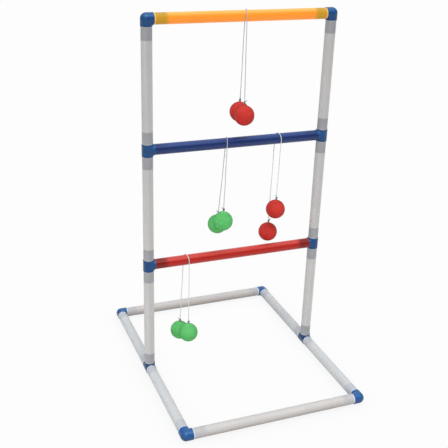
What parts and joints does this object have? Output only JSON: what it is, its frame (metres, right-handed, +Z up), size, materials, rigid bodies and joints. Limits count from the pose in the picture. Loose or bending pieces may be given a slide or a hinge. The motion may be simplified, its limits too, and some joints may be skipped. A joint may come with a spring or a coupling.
{
  "type": "ladder toss frame",
  "caption": "Lawn ladder target of push-fit plastic tubes and moulded connectors on a flat rectangular base, with cord-and-ball bolas hung over its rungs.",
  "frame": {"origin": "on the ground at the centre of the base rectangle, straight below the middles of the three rungs", "axes": "+X along the rungs, to the right seen from the front; +Y towards the rear cross tube; +Z up"},
  "size_m": [0.467, 0.604, 0.8926],
  "materials": {
    "connector_blue": "satin moulded polypropylene, faintly translucent, lighter along thin edges",
    "tube_white": "satin extruded tube, thin enough that the spigot inside shows as a darker band at each end",
    "tube_orange": "satin extruded tube, slightly translucent, darker over the spigots",
    "tube_navy": "satin extruded tube with a soft highlight along the top",
    "tube_red": "satin extruded tube, darker over the spigots",
    "ball_red": "dimpled moulded practice ball, satin",
    "ball_green": "dimpled moulded practice ball, satin",
    "cord": "twisted braided nylon cord, 2 mm, pale blue-grey"
  },
  "bodies": {
    "base_tees": {"left_base_tee": "connector_blue", "right_base_tee": "connector_blue"},
    "front_base": {"front_left_corner": "connector_blue", "front_right_corner": "connector_blue", "front_cross_tube": "tube_white", "front_left_side_tube": "tube_white", "front_right_side_tube": "tube_white"},
    "rear_base": {"rear_left_corner": "connector_blue", "rear_right_corner": "connector_blue", "rear_cross_tube": "tube_white", "rear_left_side_tube": "tube_white", "rear_right_side_tube": "tube_white"},
    "lower_section": {"lower_left_upright": "tube_white", "lower_right_upright": "tube_white", "lower_left_tee": "connector_blue", "lower_right_tee": "connector_blue", "bottom_rung": "tube_red"},
    "middle_section": {"middle_left_upright": "tube_white", "middle_right_upright": "tube_white", "middle_left_tee": "connector_blue", "middle_right_tee": "connector_blue", "middle_rung": "tube_navy"},
    "upper_section": {"upper_left_upright": "tube_white", "upper_right_upright": "tube_white", "top_left_elbow": "connector_blue", "top_right_elbow": "connector_blue", "top_rung": "tube_orange"},
    "top_red_saddle": {"top_red_bola_cord_saddle": "cord"},
    "top_red_front_hook": {"top_red_bola_cord_front_hook": "cord"},
    "top_red_rear_hook": {"top_red_bola_cord_rear_hook": "cord"},
    "top_red_front_drop": {"top_red_bola_cord_front_strand": "cord", "top_red_bola_front_ball": "ball_red"},
    "top_red_rear_drop": {"top_red_bola_cord_rear_strand": "cord", "top_red_bola_rear_ball": "ball_red"},
    "middle_green_saddle": {"middle_green_bola_cord_saddle": "cord"},
    "middle_green_front_hook": {"middle_green_bola_cord_front_hook": "cord"},
    "middle_green_rear_hook": {"middle_green_bola_cord_rear_hook": "cord"},
    "middle_green_front_drop": {"middle_green_bola_cord_front_strand": "cord", "middle_green_bola_front_ball": "ball_green"},
    "middle_green_rear_drop": {"middle_green_bola_cord_rear_strand": "cord", "middle_green_bola_rear_ball": "ball_green"},
    "middle_red_saddle": {"middle_red_bola_cord_saddle": "cord"},
    "middle_red_front_hook": {"middle_red_bola_cord_front_hook": "cord"},
    "middle_red_rear_hook": {"middle_red_bola_cord_rear_hook": "cord"},
    "middle_red_front_drop": {"middle_red_bola_cord_front_strand": "cord", "middle_red_bola_front_ball": "ball_red"},
    "middle_red_rear_drop": {"middle_red_bola_cord_rear_strand": "cord", "middle_red_bola_rear_ball": "ball_red"},
    "bottom_green_saddle": {"bottom_green_bola_cord_saddle": "cord"},
    "bottom_green_front_hook": {"bottom_green_bola_cord_front_hook": "cord"},
    "bottom_green_rear_hook": {"bottom_green_bola_cord_rear_hook": "cord"},
    "bottom_green_front_drop": {"bottom_green_bola_cord_front_strand": "cord", "bottom_green_bola_front_ball": "ball_green"},
    "bottom_green_rear_drop": {"bottom_green_bola_cord_rear_strand": "cord", "bottom_green_bola_rear_ball": "ball_green"}
  },
  "joints": [
    {"name": "front_base_pull", "type": "slide", "parent": "base_tees", "child": "front_base", "axis": [0, -1, 0], "range_m": [0, 0.03]},
    {"name": "rear_base_pull", "type": "slide", "parent": "base_tees", "child": "rear_base", "axis": [0, 1, 0], "range_m": [0, 0.03]},
    {"name": "lower_section_lift", "type": "slide", "parent": "base_tees", "child": "lower_section", "axis": [0, 0, 1], "range_m": [0, 0.03]},
    {"name": "middle_section_lift", "type": "slide", "parent": "lower_section", "child": "middle_section", "axis": [0, 0, 1], "range_m": [0, 0.03]},
    {"name": "upper_section_lift", "type": "slide", "parent": "middle_section", "child": "upper_section", "axis": [0, 0, 1], "range_m": [0, 0.03]},
    {"name": "top_red_bola_slide", "type": "slide", "parent": "upper_section", "child": "top_red_saddle", "axis": [1, 0, 0], "range_m": [-0.175, 0.165]},
    {"name": "top_red_front_swing", "type": "hinge", "parent": "top_red_saddle", "child": "top_red_front_hook", "pos_m": [0.00425, 0, 0.878], "axis": [-1, 0, 0], "range_deg": [0, 60]},
    {"name": "top_red_rear_swing", "type": "hinge", "parent": "top_red_saddle", "child": "top_red_rear_hook", "pos_m": [0.01105, 0, 0.878], "axis": [1, 0, 0], "range_deg": [0, 60]},
    {"name": "top_red_front_sway", "type": "hinge", "parent": "top_red_front_hook", "child": "top_red_front_drop", "pos_m": [0.00425, -0.01365, 0.878], "axis": [0, 1, 0], "range_deg": [-20, 20]},
    {"name": "top_red_rear_sway", "type": "hinge", "parent": "top_red_rear_hook", "child": "top_red_rear_drop", "pos_m": [0.01105, 0.01365, 0.878], "axis": [0, 1, 0], "range_deg": [-20, 20]},
    {"name": "middle_green_bola_slide", "type": "slide", "parent": "middle_section", "child": "middle_green_saddle", "axis": [1, 0, 0], "range_m": [-0.135, 0.04]},
    {"name": "middle_green_front_swing", "type": "hinge", "parent": "middle_green_saddle", "child": "middle_green_front_hook", "pos_m": [-0.03235, 0, 0.5895], "axis": [-1, 0, 0], "range_deg": [0, 60]},
    {"name": "middle_green_rear_swing", "type": "hinge", "parent": "middle_green_saddle", "child": "middle_green_rear_hook", "pos_m": [-0.02495, 0, 0.5895], "axis": [1, 0, 0], "range_deg": [0, 60]},
    {"name": "middle_green_front_sway", "type": "hinge", "parent": "middle_green_front_hook", "child": "middle_green_front_drop", "pos_m": [-0.03235, -0.01365, 0.5895], "axis": [0, 1, 0], "range_deg": [-20, 20]},
    {"name": "middle_green_rear_sway", "type": "hinge", "parent": "middle_green_rear_hook", "child": "middle_green_rear_drop", "pos_m": [-0.02495, 0.01365, 0.5895], "axis": [0, 1, 0], "range_deg": [-20, 20]},
    {"name": "middle_red_bola_slide", "type": "slide", "parent": "middle_section", "child": "middle_red_saddle", "axis": [1, 0, 0], "range_m": [-0.04, 0.075]},
    {"name": "middle_red_front_swing", "type": "hinge", "parent": "middle_red_saddle", "child": "middle_red_front_hook", "pos_m": [0.1056, 0, 0.5895], "axis": [-1, 0, 0], "range_deg": [0, 60]},
    {"name": "middle_red_rear_swing", "type": "hinge", "parent": "middle_red_saddle", "child": "middle_red_rear_hook", "pos_m": [0.1013, 0, 0.5895], "axis": [1, 0, 0], "range_deg": [0, 60]},
    {"name": "middle_red_front_sway", "type": "hinge", "parent": "middle_red_front_hook", "child": "middle_red_front_drop", "pos_m": [0.1056, -0.01365, 0.5895], "axis": [0, 1, 0], "range_deg": [-18, 18]},
    {"name": "middle_red_rear_sway", "type": "hinge", "parent": "middle_red_rear_hook", "child": "middle_red_rear_drop", "pos_m": [0.1013, 0.01365, 0.5895], "axis": [0, 1, 0], "range_deg": [-18, 18]},
    {"name": "bottom_green_bola_slide", "type": "slide", "parent": "lower_section", "child": "bottom_green_saddle", "axis": [1, 0, 0], "range_m": [-0.05, 0.295]},
    {"name": "bottom_green_front_swing", "type": "hinge", "parent": "bottom_green_saddle", "child": "bottom_green_front_hook", "pos_m": [-0.1217, 0, 0.3015], "axis": [-1, 0, 0], "range_deg": [0, 60]},
    {"name": "bottom_green_rear_swing", "type": "hinge", "parent": "bottom_green_saddle", "child": "bottom_green_rear_hook", "pos_m": [-0.1277, 0, 0.3015], "axis": [1, 0, 0], "range_deg": [0, 60]},
    {"name": "bottom_green_front_sway", "type": "hinge", "parent": "bottom_green_front_hook", "child": "bottom_green_front_drop", "pos_m": [-0.1217, -0.01365, 0.3015], "axis": [0, 1, 0], "range_deg": [-20, 14]},
    {"name": "bottom_green_rear_sway", "type": "hinge", "parent": "bottom_green_rear_hook", "child": "bottom_green_rear_drop", "pos_m": [-0.1277, 0.01365, 0.3015], "axis": [0, 1, 0], "range_deg": [-20, 14]}
  ]
}
